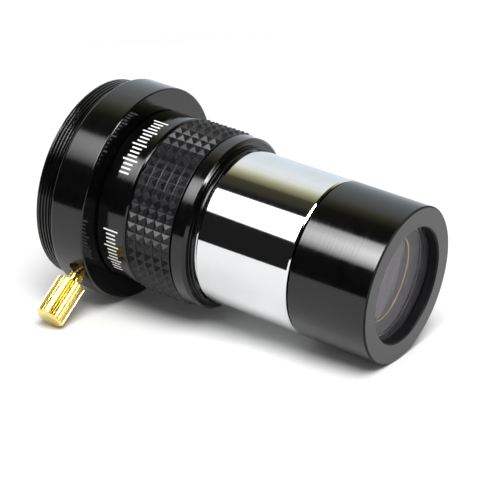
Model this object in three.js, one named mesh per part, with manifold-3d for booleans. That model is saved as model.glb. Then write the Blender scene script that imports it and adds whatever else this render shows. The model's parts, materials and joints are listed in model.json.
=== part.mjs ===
// 1.25 inch telescope barlow lens with an M42 x 0.75 camera thread.
//
// Units are millimetres and +Z is up. The part lies on the plane z = 0 on three points: the nose
// rim, the collar rim and the thumbscrew's knob. Its nose points to +X and dips by the small angle
// that the two rims set. The origin is under the middle of the part's box.
//
// Inside the optics group the optical axis is X. A station is a distance back from the nose face,
// so the point at station s on the axis is (-s, 0, 0).

import * as THREE from 'three';
import Module from 'manifold-3d';
import { mergeVertices } from 'three/addons/utils/BufferGeometryUtils.js';

const wasm = await Module();
wasm.setup();

// ---------------------------------------------------------------- clearances and finish
const seatGap = 0.3;            // between faces that seat on each other
const threadGap = 0.15;         // radial, between a male thread and its female
const fineEdge = 0.3;           // chamfer on turned edges
const sides = 56;               // facets round the optical axis

// ---------------------------------------------------------------- standard interfaces
const barrelRadius = 15.85;     // 1.25 inch nosepiece
const eyepieceBoreRadius = 15.9;
const cameraThreadRadius = 20.95;
const cameraThreadLength = 4.61;
const threadReliefDepth = 0.75;
const threadReliefLength = 0.9;
const threadReliefSlope = 0.3;  // length of the relief's sloped wall, next to the collar

// ---------------------------------------------------------------- nosepiece barrel and baffle
const barrelLength = 20.8;
const barrelWall = 1.95;
const barrelThreadStep = 0.65;  // the rear thread is this much below the barrel's surface
const barrelThreadLength = 4.9;
const baffleWidth = 3.35;       // radial
const baffleWall = 1.0;
const baffleLength = 3.0;
const baffleSetBack = 9.6;      // behind the lens cell's socket

// ---------------------------------------------------------------- lens cell
const cellLength = 17.13;
const cellThreadStep = 0.4;     // the cell's spigot is this much outside the barrel's bore
const cellSpigotLength = 5.2;
const cellSpigotWall = 1.25;
const noseLipLength = 2.0;
const noseLipWidth = 0.8;       // radial cover over the glass

// ---------------------------------------------------------------- glass and its hardware
const lensClearance = 0.2;
const lensFlatWidth = 0.9;
const frontLensCentre = 1.3;
const rearLensCentre = 3.0;
const frontLensFrontCurve = 120; // radii of curvature
const frontLensBackCurve = 90;
const rearLensFrontCurve = 400;
const rearLensBackCurve = 80;
const lensArcSteps = 4;
const lensSpacerLength = 0.9;
const lensSpacerWidth = 3.7;    // radial
const retainerThreadDepth = 0.5; // the retainer's thread is this much outside the glass
const retainerWidth = 3.7;      // radial
const retainerLength = 2.0;
const spannerSlotWidth = 1.5;
const spannerSlotDepth = 0.9;

// ---------------------------------------------------------------- body and rubber grip
const hubStep = 0.4;            // above the nosepiece, radial
const hubLength = 0.98;
const hubLeadIn = 0.6;          // length of the cone that opens the barrel's socket
const flangeStep = 0.77;        // above the grip's seat, radial
const flangeLength = 3.42;
const flangeChamfer = 0.55;
const gripSeatWall = 1.1;
const gripLength = 10.3;
const gripProud = 0.4;          // pyramid tips above the land
const pyramidHeight = 0.62;
const pyramidRows = 5;
const landStep = 0.8;           // above the grip's seat, radial
const landLength = 6.84;
const stopLip = 1.4;            // radial lip that an eyepiece stops against
const stopLength = 1.1;

// ---------------------------------------------------------------- eyepiece holder
const collarShoulder = 1.41;    // above the camera thread, radial
const collarLength = 8.15;
const collarChamfer = 0.4;
const boreChamfer = 0.6;
const holderSpigotWall = 0.9;
const holderSocketInset = 0.84; // from the front of the land to the bottom of the holder's socket

// ---------------------------------------------------------------- compression ring
const ringWall = 1.0;
const ringWidth = 4.0;
const ringTravel = 0.5;         // each way from rest, with the screw
const ringRecess = 0.1;         // the relaxed ring lies this far outside the bore
const ringSplitAngle = THREE.MathUtils.degToRad(24);

// ---------------------------------------------------------------- thumbscrew
const screwRadius = 1.5;        // M3
const screwTipRadius = 1.1;
const screwTipLength = 0.5;
const screwSides = 20;
const knobRadius = 3.05;
const knobLength = 8.9;
const knobStandOff = 1.85;      // knob's shoulder above the collar
const knobChamfer = 0.45;       // at the end
const knobShoulderChamfer = 0.2;
const knurlCount = 28;
const knurlDepth = 0.28;

// ---------------------------------------------------------------- radii, from the inside out
const barrelBoreRadius = barrelRadius - barrelWall;
const barrelThreadRadius = barrelRadius - barrelThreadStep;
const barrelSocketRadius = barrelThreadRadius + threadGap;
const cellSpigotRadius = barrelBoreRadius + cellThreadStep;
const cellSocketRadius = cellSpigotRadius + threadGap;
const cellThreadRadius = cellSpigotRadius - cellSpigotWall;
const retainerRadius = cellThreadRadius - threadGap;
const retainerBoreRadius = retainerRadius - retainerWidth;
const lensRadius = retainerRadius - retainerThreadDepth;
const lensBoreRadius = lensRadius + lensClearance;
const lensCurveEdge = lensRadius - lensFlatWidth;
const lensSpacerBoreRadius = lensRadius - lensSpacerWidth;
const noseOpeningRadius = lensRadius - noseLipWidth;
const baffleRadius = barrelBoreRadius - threadGap;
const holderSpigotRadius = eyepieceBoreRadius + holderSpigotWall;
const holderSocketRadius = holderSpigotRadius + threadGap;
const stopRadius = eyepieceBoreRadius - stopLip;
const hubRadius = barrelRadius + hubStep;
const gripSeatRadius = Math.max(eyepieceBoreRadius, barrelSocketRadius) + gripSeatWall;
const flangeRadius = gripSeatRadius + flangeStep;
const landRadius = gripSeatRadius + landStep;
const gripTipRadius = landRadius + gripProud;
const collarRadius = cameraThreadRadius + collarShoulder;
const ringInnerRadius = eyepieceBoreRadius + ringRecess;
const ringOuterRadius = ringInnerRadius + ringWall;
const grooveRadius = ringOuterRadius + ringTravel + seatGap;

// ---------------------------------------------------------------- stations, from the nose back
const cellBack = cellLength;
const cellSpigotBack = cellBack + cellSpigotLength;
const barrelFront = cellBack + seatGap;
const cellSocketBack = cellSpigotBack + seatGap;
const barrelShoulder = barrelFront + barrelLength;
const barrelBack = barrelShoulder + barrelThreadLength;
const hubFront = barrelShoulder + seatGap;
const flangeFront = hubFront + hubLength;
const flangeBack = flangeFront + flangeLength;
const stopFront = barrelBack + seatGap;
const stopBack = stopFront + stopLength;
const gripFront = flangeBack + seatGap;
const gripBack = gripFront + gripLength;
const landFront = gripBack + seatGap;
const holderSocketFront = landFront + holderSocketInset;
const landBack = landFront + landLength;
const collarFront = landBack + seatGap;
const collarBack = collarFront + collarLength;
const holderBack = collarBack + cameraThreadLength;
const screwStation = (collarFront + collarBack) / 2;

// ---------------------------------------------------------------- shape helpers

/** A closed solid of revolution about the optical axis, from [station, radius] corners in order. */
function revolve(corners, steps = sides) {
  const profile = corners.map(([station, radius]) => new THREE.Vector2(radius, -station));
  if (THREE.ShapeUtils.area(profile) < 0) profile.reverse();
  const closesOnAxis = profile.at(0).x === 0 && profile.at(-1).x === 0;
  if (!closesOnAxis) profile.push(profile[0].clone());
  return new THREE.LatheGeometry(profile, steps).rotateZ(-Math.PI / 2);
}

function toSolid(geometry) {
  const bare = geometry.clone();
  bare.deleteAttribute('normal');
  bare.deleteAttribute('uv');
  const merged = mergeVertices(bare, 1e-4);
  return new wasm.Manifold(new wasm.Mesh({
    numProp: 3,
    vertProperties: merged.attributes.position.array,
    triVerts: new Uint32Array(merged.index.array),
  }));
}

function fromSolid(solid) {
  const mesh = solid.getMesh();
  const geometry = new THREE.BufferGeometry();
  geometry.setAttribute('position', new THREE.BufferAttribute(mesh.vertProperties, 3));
  geometry.setIndex(new THREE.BufferAttribute(mesh.triVerts, 1));
  geometry.computeVertexNormals();
  return geometry;
}

/** How far a surface of this radius of curvature falls away at a height above its axis. */
const sag = (curve, height) => curve - Math.sqrt(curve * curve - height * height);

/** Corners along one lens surface, from the axis out to its edge. */
function lensSurface(vertexStation, curve, towardsRear, edge) {
  const corners = [];
  for (let step = 0; step <= lensArcSteps; step += 1) {
    const height = (edge * step) / lensArcSteps;
    corners.push([vertexStation + towardsRear * sag(curve, height), height]);
  }
  return corners;
}

const finishes = {
  blackAnodised: { color: 0x0b0b0c, roughness: 0.28, metalness: 0.6 },
  mattBlack: { color: 0x101011, roughness: 0.75, metalness: 0.2 },
  chrome: { color: 0xd9dde3, roughness: 0.06, metalness: 1.0 },
  brass: { color: 0xd9a93c, roughness: 0.25, metalness: 1.0 },
  rubber: { color: 0x161617, roughness: 0.8, metalness: 0.0 },
  glass: { color: 0x8f93a6, roughness: 0.05, metalness: 0.0 },
};

function piece(name, geometry, finish) {
  const mesh = new THREE.Mesh(geometry, new THREE.MeshStandardMaterial(finishes[finish]));
  mesh.name = name;
  return mesh;
}

// ---------------------------------------------------------------- lens cell, glass and retainer
const glassFront = noseLipLength + seatGap;
const frontLensVertex = glassFront + sag(frontLensFrontCurve, lensCurveEdge);
const frontLensBackVertex = frontLensVertex + frontLensCentre;
const frontLensBack = frontLensBackVertex + sag(frontLensBackCurve, lensCurveEdge);
const lensSpacerFront = frontLensBack + seatGap;
const rearLensFront = lensSpacerFront + lensSpacerLength + seatGap;
const rearLensVertex = rearLensFront - sag(rearLensFrontCurve, lensCurveEdge);
const rearLensBackVertex = rearLensVertex + rearLensCentre;
const rearLensBack = rearLensBackVertex + sag(rearLensBackCurve, lensCurveEdge);
const retainerFront = rearLensBack + seatGap;

function lensCell() {
  return revolve([
    [0, noseOpeningRadius + fineEdge],
    [0, barrelRadius - fineEdge],
    [fineEdge, barrelRadius],
    [cellBack - fineEdge, barrelRadius],
    [cellBack, barrelRadius - fineEdge],
    [cellBack, cellSpigotRadius],
    [cellSpigotBack - fineEdge, cellSpigotRadius],
    [cellSpigotBack, cellSpigotRadius - fineEdge],
    [cellSpigotBack, cellThreadRadius],
    [rearLensBack, cellThreadRadius],
    [rearLensBack, lensBoreRadius],
    [noseLipLength, lensBoreRadius],
    [noseLipLength, noseOpeningRadius],
    [fineEdge, noseOpeningRadius],
  ]);
}

function frontLens() {
  return revolve([
    ...lensSurface(frontLensVertex, frontLensFrontCurve, -1, lensCurveEdge),
    [glassFront, lensRadius],
    [frontLensBack, lensRadius],
    ...lensSurface(frontLensBackVertex, frontLensBackCurve, 1, lensCurveEdge).reverse(),
  ]);
}

function rearLens() {
  return revolve([
    ...lensSurface(rearLensVertex, rearLensFrontCurve, 1, lensCurveEdge),
    [rearLensFront, lensRadius],
    [rearLensBack, lensRadius],
    ...lensSurface(rearLensBackVertex, rearLensBackCurve, 1, lensCurveEdge).reverse(),
  ]);
}

function lensSpacer() {
  return revolve([
    [lensSpacerFront, lensSpacerBoreRadius + fineEdge],
    [lensSpacerFront, lensRadius],
    [lensSpacerFront + lensSpacerLength, lensRadius],
    [lensSpacerFront + lensSpacerLength, lensSpacerBoreRadius],
    [lensSpacerFront + fineEdge, lensSpacerBoreRadius],
  ]);
}

function lensRetainer() {
  const retainerBack = retainerFront + retainerLength;
  const ring = toSolid(revolve([
    [retainerFront, retainerBoreRadius],
    [retainerFront, retainerRadius],
    [retainerBack, retainerRadius],
    [retainerBack, retainerBoreRadius + fineEdge],
    [retainerBack - fineEdge, retainerBoreRadius],
  ]));
  const slotBar = new THREE.BoxGeometry(2 * spannerSlotDepth, 2 * cellThreadRadius, spannerSlotWidth);
  slotBar.translate(-retainerBack, 0, 0);
  return fromSolid(ring.subtract(toSolid(slotBar)));
}

// ---------------------------------------------------------------- nosepiece barrel and baffle
function nosepieceBarrel() {
  return revolve([
    [barrelFront, cellSocketRadius],
    [barrelFront, barrelRadius - fineEdge],
    [barrelFront + fineEdge, barrelRadius],
    [barrelShoulder - fineEdge, barrelRadius],
    [barrelShoulder, barrelRadius - fineEdge],
    [barrelShoulder, barrelThreadRadius],
    [barrelBack, barrelThreadRadius],
    [barrelBack, barrelBoreRadius],
    [cellSocketBack, barrelBoreRadius],
    [cellSocketBack, cellSocketRadius],
  ]);
}

/** A disc with a hole that lets the image through and a skirt that fits the barrel's bore. */
function lightBaffle() {
  const front = cellSocketBack + baffleSetBack;
  const back = front + baffleLength;
  const boreRadius = baffleRadius - baffleWidth;
  return revolve([
    [front, boreRadius],
    [front, baffleRadius],
    [back, baffleRadius],
    [back, baffleRadius - baffleWall],
    [front + baffleWall, baffleRadius - baffleWall],
    [front + fineEdge, boreRadius],
  ]);
}

// ---------------------------------------------------------------- body and rubber grip
function gripBody() {
  return revolve([
    [hubFront + hubLeadIn, barrelSocketRadius],
    [hubFront, barrelRadius],
    [hubFront, hubRadius],
    [flangeFront, hubRadius],
    [flangeFront, flangeRadius - flangeChamfer],
    [flangeFront + flangeChamfer, flangeRadius],
    [flangeBack - fineEdge, flangeRadius],
    [flangeBack, flangeRadius - fineEdge],
    [flangeBack, gripSeatRadius],
    [landFront, gripSeatRadius],
    [landFront, landRadius - fineEdge],
    [landFront + fineEdge, landRadius],
    [landBack - fineEdge, landRadius],
    [landBack, landRadius - fineEdge],
    [landBack, holderSocketRadius],
    [holderSocketFront, holderSocketRadius],
    [holderSocketFront, eyepieceBoreRadius],
    [stopBack, eyepieceBoreRadius],
    [stopBack, stopRadius],
    [stopFront, stopRadius],
    [stopFront, barrelSocketRadius],
  ]);
}

/** A rubber sleeve whose outside is rows of square pyramids, one pyramid to each facet. */
function rubberGrip() {
  const innerRadius = gripSeatRadius + seatGap;
  const valleyRadius = gripTipRadius - pyramidHeight;
  const pitch = gripLength / pyramidRows;
  const positions = [];
  const triangles = [];

  const addPoint = (station, radius, turn) => {
    const angle = (turn * 2 * Math.PI) / sides;
    positions.push(-station, -radius * Math.sin(angle), radius * Math.cos(angle));
    return positions.length / 3 - 1;
  };
  const addRing = (station, radius) => {
    const ring = [];
    for (let turn = 0; turn < sides; turn += 1) ring.push(addPoint(station, radius, turn));
    return ring;
  };
  const next = (turn) => (turn + 1) % sides;
  const joinRings = (front, back) => {
    for (let turn = 0; turn < sides; turn += 1) {
      triangles.push(front[turn], back[turn], back[next(turn)]);
      triangles.push(front[turn], back[next(turn)], front[next(turn)]);
    }
  };

  const valleys = [];
  for (let row = 0; row <= pyramidRows; row += 1) {
    valleys.push(addRing(gripFront + row * pitch, valleyRadius));
  }
  for (let row = 0; row < pyramidRows; row += 1) {
    for (let turn = 0; turn < sides; turn += 1) {
      const tip = addPoint(gripFront + (row + 0.5) * pitch, gripTipRadius, turn + 0.5);
      const corners = [
        valleys[row][turn],
        valleys[row + 1][turn],
        valleys[row + 1][next(turn)],
        valleys[row][next(turn)],
      ];
      corners.forEach((corner, index) => triangles.push(corner, corners[(index + 1) % 4], tip));
    }
  }

  const innerFront = addRing(gripFront, innerRadius);
  const innerBack = addRing(gripBack, innerRadius);
  joinRings(innerFront, valleys[0]);
  joinRings(valleys[pyramidRows], innerBack);
  joinRings(innerBack, innerFront);

  const geometry = new THREE.BufferGeometry();
  geometry.setAttribute('position', new THREE.Float32BufferAttribute(positions, 3));
  geometry.setIndex(triangles);
  geometry.computeVertexNormals();
  return geometry;
}

// ---------------------------------------------------------------- how the part rests
// The two rims set the dip. The knob's end edge touches the same plane and sets the roll.
const dip = Math.atan2(collarRadius - barrelRadius, collarFront + collarChamfer - fineEdge);
const knobEnd = collarRadius + knobStandOff + knobLength;
const knobTouchHeight = knobEnd - knobChamfer;

function screwRoll() {
  const axisHeight = barrelRadius * Math.cos(dip) + (screwStation - fineEdge) * Math.sin(dip);
  const reach = Math.hypot(knobTouchHeight, knobRadius);
  const fromVertical = Math.atan2(knobRadius, knobTouchHeight) + Math.acos(axisHeight / reach);
  return Math.acos(Math.cos(fromVertical) / Math.cos(dip));
}

const roll = screwRoll();       // the screw's angle from straight down, towards -Y

/** Turns something made along +Z so that it points out along the screw, at the screw's station. */
function placeOnScrewAxis(object) {
  object.rotation.x = Math.PI - roll;
  object.position.x = -screwStation;
  return object;
}

// ---------------------------------------------------------------- eyepiece holder
function eyepieceHolder() {
  const grooveFront = screwStation - ringWidth / 2 - seatGap;
  const grooveBack = screwStation + ringWidth / 2 + seatGap;
  const spigotFront = holderSocketFront + seatGap;
  const threadFront = collarBack + threadReliefLength;
  const body = toSolid(revolve([
    [spigotFront, eyepieceBoreRadius],
    [spigotFront, holderSpigotRadius - fineEdge],
    [spigotFront + fineEdge, holderSpigotRadius],
    [collarFront, holderSpigotRadius],
    [collarFront, collarRadius - collarChamfer],
    [collarFront + collarChamfer, collarRadius],
    [collarBack - collarChamfer, collarRadius],
    [collarBack, collarRadius - collarChamfer],
    [collarBack, cameraThreadRadius],
    [collarBack + threadReliefSlope, cameraThreadRadius - threadReliefDepth],
    [threadFront, cameraThreadRadius - threadReliefDepth],
    [threadFront, cameraThreadRadius],
    [holderBack - fineEdge, cameraThreadRadius],
    [holderBack, cameraThreadRadius - fineEdge],
    [holderBack, eyepieceBoreRadius + boreChamfer],
    [holderBack - boreChamfer, eyepieceBoreRadius],
    [grooveBack, eyepieceBoreRadius],
    [grooveBack, grooveRadius],
    [grooveFront, grooveRadius],
    [grooveFront, eyepieceBoreRadius],
  ]));

  const holeRadius = screwRadius + threadGap;
  const holeStart = (eyepieceBoreRadius + grooveRadius) / 2;
  const holeEnd = collarRadius + knobStandOff;
  const drill = new THREE.CylinderGeometry(holeRadius, holeRadius, holeEnd - holeStart, screwSides);
  drill.rotateX(Math.PI / 2);
  drill.translate(0, 0, (holeStart + holeEnd) / 2);
  const placedDrill = placeOnScrewAxis(new THREE.Object3D());
  placedDrill.updateMatrix();
  drill.applyMatrix4(placedDrill.matrix);
  return fromSolid(body.subtract(toSolid(drill)));
}

// ---------------------------------------------------------------- compression ring
/** A split ring in the XY plane, its split on the side away from +X. */
function compressionRing() {
  const start = -Math.PI + ringSplitAngle / 2;
  const end = Math.PI - ringSplitAngle / 2;
  const outline = new THREE.Shape();
  outline.absarc(0, 0, ringOuterRadius, start, end, false);
  outline.absarc(0, 0, ringInnerRadius, end, start, true);
  const extrusion = { depth: ringWidth, bevelEnabled: false, curveSegments: sides };
  const ring = new THREE.ExtrudeGeometry(outline, extrusion);
  ring.translate(0, 0, -ringWidth / 2);
  return ring.rotateY(-Math.PI / 2);
}

// ---------------------------------------------------------------- thumbscrew
/** A revolved solid about +Z, from [height, radius] corners that start and end on the axis. */
function turned(corners, steps) {
  const profile = corners.map(([height, radius]) => new THREE.Vector2(radius, height));
  return new THREE.LatheGeometry(profile, steps).rotateX(Math.PI / 2);
}

/** Brass screw made along +Z, with z measured from the optical axis. */
function thumbscrew() {
  const tip = ringOuterRadius + seatGap;
  const knobStart = collarRadius + knobStandOff;
  const stud = toSolid(turned([
    [tip, 0],
    [tip, screwTipRadius],
    [tip + screwTipLength, screwRadius],
    [knobStart + knobChamfer, screwRadius],
    [knobStart + knobChamfer, 0],
  ], screwSides));

  const ridges = new THREE.Shape();
  for (let step = 0; step < 2 * knurlCount; step += 1) {
    const radius = step % 2 ? knobRadius : knobRadius - knurlDepth;
    const angle = (step * Math.PI) / knurlCount;
    const corner = [radius * Math.cos(angle), radius * Math.sin(angle)];
    if (step === 0) ridges.moveTo(...corner);
    else ridges.lineTo(...corner);
  }
  const knurl = new THREE.ExtrudeGeometry(ridges, { depth: knobLength, bevelEnabled: false });
  knurl.translate(0, 0, knobStart);

  const blank = turned([
    [knobStart, 0],
    [knobStart, knobRadius - knobShoulderChamfer],
    [knobStart + knobShoulderChamfer, knobRadius],
    [knobEnd - knobChamfer, knobRadius],
    [knobEnd, knobRadius - knobChamfer],
    [knobEnd, 0],
  ], 2 * knurlCount);
  const knob = toSolid(knurl).intersect(toSolid(blank));
  return fromSolid(stud.add(knob));
}

// ---------------------------------------------------------------- assembly
const optics = new THREE.Group();
optics.rotation.y = dip;
optics.add(
  piece('lens_cell', lensCell(), 'blackAnodised'),
  piece('front_lens', frontLens(), 'glass'),
  piece('lens_spacer', lensSpacer(), 'mattBlack'),
  piece('rear_lens', rearLens(), 'glass'),
  piece('lens_retainer', lensRetainer(), 'mattBlack'),
  piece('nosepiece_barrel', nosepieceBarrel(), 'chrome'),
  piece('light_baffle', lightBaffle(), 'mattBlack'),
  piece('grip_body', gripBody(), 'blackAnodised'),
  piece('rubber_grip', rubberGrip(), 'rubber'),
  piece('eyepiece_holder', eyepieceHolder(), 'blackAnodised'),
);

const ringMesh = piece('compression_ring', compressionRing(), 'brass');
const screwGroup = placeOnScrewAxis(new THREE.Group());
screwGroup.add(piece('thumbscrew', thumbscrew(), 'brass'), ringMesh);
optics.add(screwGroup);

const part = new THREE.Group();
part.name = 'barlow_lens';
part.add(optics);
part.updateMatrixWorld(true);

const box = new THREE.Box3().setFromObject(part, true);
optics.position.x -= (box.min.x + box.max.x) / 2;
optics.position.y -= (box.min.y + box.max.y) / 2;
optics.position.z -= box.min.z;
part.updateMatrixWorld(true);

export default part;
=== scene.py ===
import json
import math

import bmesh
import bpy
import numpy as np
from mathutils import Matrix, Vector


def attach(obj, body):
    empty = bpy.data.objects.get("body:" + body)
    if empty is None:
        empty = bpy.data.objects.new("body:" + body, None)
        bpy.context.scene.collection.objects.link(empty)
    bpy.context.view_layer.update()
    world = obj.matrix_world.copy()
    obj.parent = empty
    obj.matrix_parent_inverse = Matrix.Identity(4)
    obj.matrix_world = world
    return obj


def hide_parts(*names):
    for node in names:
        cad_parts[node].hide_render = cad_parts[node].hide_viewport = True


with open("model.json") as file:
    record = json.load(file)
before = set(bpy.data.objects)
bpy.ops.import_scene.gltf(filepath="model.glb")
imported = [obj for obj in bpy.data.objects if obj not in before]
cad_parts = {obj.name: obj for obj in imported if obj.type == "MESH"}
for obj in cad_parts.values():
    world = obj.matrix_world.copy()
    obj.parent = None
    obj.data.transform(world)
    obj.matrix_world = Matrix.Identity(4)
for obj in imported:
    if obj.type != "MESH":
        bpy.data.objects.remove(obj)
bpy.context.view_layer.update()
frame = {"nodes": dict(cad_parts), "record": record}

# The part's own sizes are in millimetres, as stations back from the nose face and radii about the
# optical axis, and are read from the CAD. Blender's own numbers are in metres.
MM = 0.001
AROUND = 224            # steps round a turned piece
EDGE = 0.09             # round on turned edges
HOLD = 0.05             # support ring beside each round, so that flats stay flat
ROUND_STEPS = 3         # steps in a small round, and half as many as in a large one
LARGE_ROUND = 0.15
CRISP = 35              # degrees; an edge of a cut piece that turns by more stays crisp
NEAR = 0.05             # sizes closer than this are the same, when they are read from the CAD
BESIDE = 0.5            # a corner this near belongs to the same edge or seat

JOINTS = {joint["name"]: joint for joint in frame["record"]["behaviour"]["joints"]}


# ------------------------------ axes
class Axis:
    """A line with stations along it, and angles about it from its zero direction to its quarter one."""

    def __init__(self, origin, along, zero, quarter):
        self.origin, self.along, self.zero, self.quarter = map(np.array, (origin, along, zero, quarter))

    def spokes(self, angles):
        """Unit vectors square to the line, one for each angle."""
        return np.outer(np.cos(angles), self.zero) + np.outer(np.sin(angles), self.quarter)

    def point(self, station, radius, angle):
        """The place in metres at a station, radius and angle."""
        spoke = self.spokes([angle])[0]
        return self.origin + MM * (station * self.along + radius * spoke)

    def measure(self, points):
        """Stations and radii of points, in millimetres."""
        offsets = points - self.origin
        stations = offsets @ self.along
        return stations / MM, np.linalg.norm(offsets - np.outer(stations, self.along), axis=1) / MM


def node_points(node):
    """The corners of a CAD node, in metres."""
    shape = frame["nodes"][node]
    return np.array([(shape.matrix_world @ vertex.co)[:] for vertex in shape.data.vertices])


def unit(vector):
    return np.array(vector, float) / np.linalg.norm(vector)


TO_NOSE = unit(JOINTS["cell_turn"]["axis"])
ON_AXIS = np.array(JOINTS["cell_turn"]["pos_m"], float)
NOSE = ON_AXIS + TO_NOSE * ((node_points("lens_cell") - ON_AXIS) @ TO_NOSE).max()
REAR_SIDE = unit(np.cross(TO_NOSE, (0, 0, 1)))
UPWARD = np.cross(REAR_SIDE, TO_NOSE)
OPTIC = Axis(NOSE, -TO_NOSE, UPWARD, REAR_SIDE)

SCREW_OUT = -unit(JOINTS["thumbscrew_turn"]["axis"])
SCREW_POINT = np.array(JOINTS["thumbscrew_turn"]["pos_m"], float)
SCREW_STATION = float((NOSE - SCREW_POINT) @ TO_NOSE / MM)
SCREW_FOOT = NOSE - TO_NOSE * SCREW_STATION * MM
SCREW = Axis(SCREW_FOOT, SCREW_OUT, TO_NOSE, np.cross(SCREW_OUT, TO_NOSE))
SCREW_ANGLE = math.atan2(SCREW_OUT @ REAR_SIDE, SCREW_OUT @ UPWARD)


class Sizes:
    """What a turned CAD node measures: its corners' stations and radii."""

    def __init__(self, node, axis=OPTIC):
        self.station, self.radius = axis.measure(node_points(node))
        self.front, self.back = self.station.min(), self.station.max()
        self.inner, self.outer = self.radius.min(), self.radius.max()

    def first(self, at_least=0.0, at_most=math.inf, after=-math.inf):
        """The first station that has a corner of these radii, past another station."""
        fits = (self.radius > at_least - NEAR) & (self.radius < at_most + NEAR)
        return self.station[fits & (self.station > after + NEAR)].min()

    def last(self, at_least=0.0, at_most=math.inf, before=math.inf):
        """The last station that has a corner of these radii, short of another station."""
        fits = (self.radius > at_least - NEAR) & (self.radius < at_most + NEAR)
        return self.station[fits & (self.station < before - NEAR)].max()

    def between(self, after, before):
        """The radii of the corners between two stations."""
        return self.radius[(self.station > after) & (self.station < before)]

    def widest(self, after, before):
        return self.between(after, before).max()

    def widest_at(self, station):
        return self.widest(station - NEAR, station + NEAR)

    def narrowest(self, after, before):
        return self.between(after, before).min()

    def narrowest_at(self, station):
        return self.narrowest(station - NEAR, station + NEAR)

    def next_radius(self, above, after, before):
        """The smallest radius between two stations that is clear of the one given."""
        radii = self.between(after, before)
        return radii[radii > above + NEAR].min()


cell = Sizes("lens_cell")
front_glass = Sizes("front_lens")
spacer = Sizes("lens_spacer")
rear_glass = Sizes("rear_lens")
retainer = Sizes("lens_retainer")
barrel = Sizes("nosepiece_barrel")
baffle = Sizes("light_baffle")
body = Sizes("grip_body")
rubber = Sizes("rubber_grip")
holder = Sizes("eyepiece_holder")
ring = Sizes("compression_ring")
screw = Sizes("thumbscrew", SCREW)


# ------------------------------ mesh making
def make_object(name, vertices, faces, smooth=True):
    """A mesh object in the scene, with its faces turned outwards."""
    mesh = bpy.data.meshes.new(name)
    mesh.from_pydata([tuple(vertex) for vertex in vertices], [], faces)
    mesh.update()
    shape = bmesh.new()
    shape.from_mesh(mesh)
    bmesh.ops.recalc_face_normals(shape, faces=shape.faces)
    shape.to_mesh(mesh)
    shape.free()
    mesh.polygons.foreach_set("use_smooth", [smooth] * len(mesh.polygons))
    piece = bpy.data.objects.new(name, mesh)
    bpy.context.collection.objects.link(piece)
    return piece


def rounded(corners, closed=True, edge=EDGE):
    """(station, radius) corners, each with a small round and a support ring on either side.
    A third number is that corner's own round."""
    straight = math.radians(86)     # half the angle between sides that meet almost in line
    outline = []
    count = len(corners)
    for index, corner in enumerate(corners):
        here = np.array(corner[:2], float)
        wanted = corner[2] if len(corner) > 2 else edge
        if not closed and index in (0, count - 1):
            outline.append(tuple(here))
            continue
        before = np.array(corners[index - 1][:2], float) - here
        after = np.array(corners[(index + 1) % count][:2], float) - here
        before_length, after_length = np.linalg.norm(before), np.linalg.norm(after)
        before, after = before / before_length, after / after_length
        half = math.acos(max(-1.0, min(1.0, before @ after))) / 2
        if half > straight:
            outline.append(tuple(here))
            continue
        most = 0.35 if wanted == edge else 0.8      # share of either side that the round may take
        cut = min(wanted / math.tan(half), most * before_length, most * after_length)
        radius = cut * math.tan(half)
        centre = here + (before + after) / np.linalg.norm(before + after) * radius / math.sin(half)
        start, end = here + before * cut - centre, here + after * cut - centre
        if before_length - 2 * cut > 3 * HOLD:
            outline.append(tuple(here + before * (cut + HOLD)))
        steps = ROUND_STEPS if radius < LARGE_ROUND else 2 * ROUND_STEPS
        for step in range(steps + 1):
            share = step / steps
            way = start * (1 - share) + end * share
            outline.append(tuple(centre + way / np.linalg.norm(way) * radius))
        if after_length - 2 * cut > 3 * HOLD:
            outline.append(tuple(here + after * (cut + HOLD)))
    return outline


def thread_rings(front, back, crest, pitch, depth, per_turn=8, around=AROUND):
    """Rings of a male screw thread between two stations, running out at both ends."""
    flank_slope, flank_start = 3.4, 0.6
    steps = max(int(per_turn * (back - front) / pitch), 8)
    turns = np.arange(around) / around
    rings = []
    for step in range(steps + 1):
        station = front + (back - front) * step / steps
        fade = max(0.0, min(1.0, 2 * (station - front) / pitch, 2 * (back - station) / pitch))
        phase = (station / pitch + turns) % 1.0
        flank = np.clip(np.abs(phase - 0.5) * flank_slope - flank_start, 0, 1)
        rings.append((station, crest - depth * flank * fade))
    return rings


def lathe(name, outline, axis=OPTIC, around=AROUND, closed=True):
    """Turns (station, radius) rings about an axis. A radius is a number, or one value a step.
    An open outline's ends are closed by a point on the axis."""
    spokes = axis.spokes(np.arange(around) * 2 * math.pi / around)
    vertices, starts = [], []
    for station, radius in outline:
        starts.append(len(vertices))
        middle = axis.origin + axis.along * station * MM
        vertices.extend(middle + spokes * (np.ones(around) * radius)[:, None] * MM)
    pairs = list(zip(starts[:-1], starts[1:]))
    if closed:
        pairs.append((starts[-1], starts[0]))
    faces = []
    for first, second in pairs:
        for step in range(around):
            after = (step + 1) % around
            faces.append((first + step, second + step, second + after, first + after))
    if not closed:
        for start, (station, _) in ((starts[0], outline[0]), (starts[-1], outline[-1])):
            vertices.append(axis.origin + axis.along * station * MM)
            hub = len(vertices) - 1
            faces.extend((start + step, start + (step + 1) % around, hub) for step in range(around))
    return make_object(name, vertices, faces)


def sector(name, outline, start, end, steps, axis=OPTIC):
    """Turns a closed outline through part of a circle and caps both ends."""
    spokes = axis.spokes(np.linspace(start, end, steps + 1))
    count = len(outline)
    vertices = [axis.origin + MM * (station * axis.along + radius * spoke)
                for spoke in spokes for station, radius in outline]
    faces = []
    for step in range(steps):
        for index in range(count):
            after = (index + 1) % count
            faces.append((step * count + index, (step + 1) * count + index,
                          (step + 1) * count + after, step * count + after))
    faces.append(tuple(range(count)))
    faces.append(tuple(range(steps * count, (steps + 1) * count)))
    return make_object(name, vertices, faces)


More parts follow.
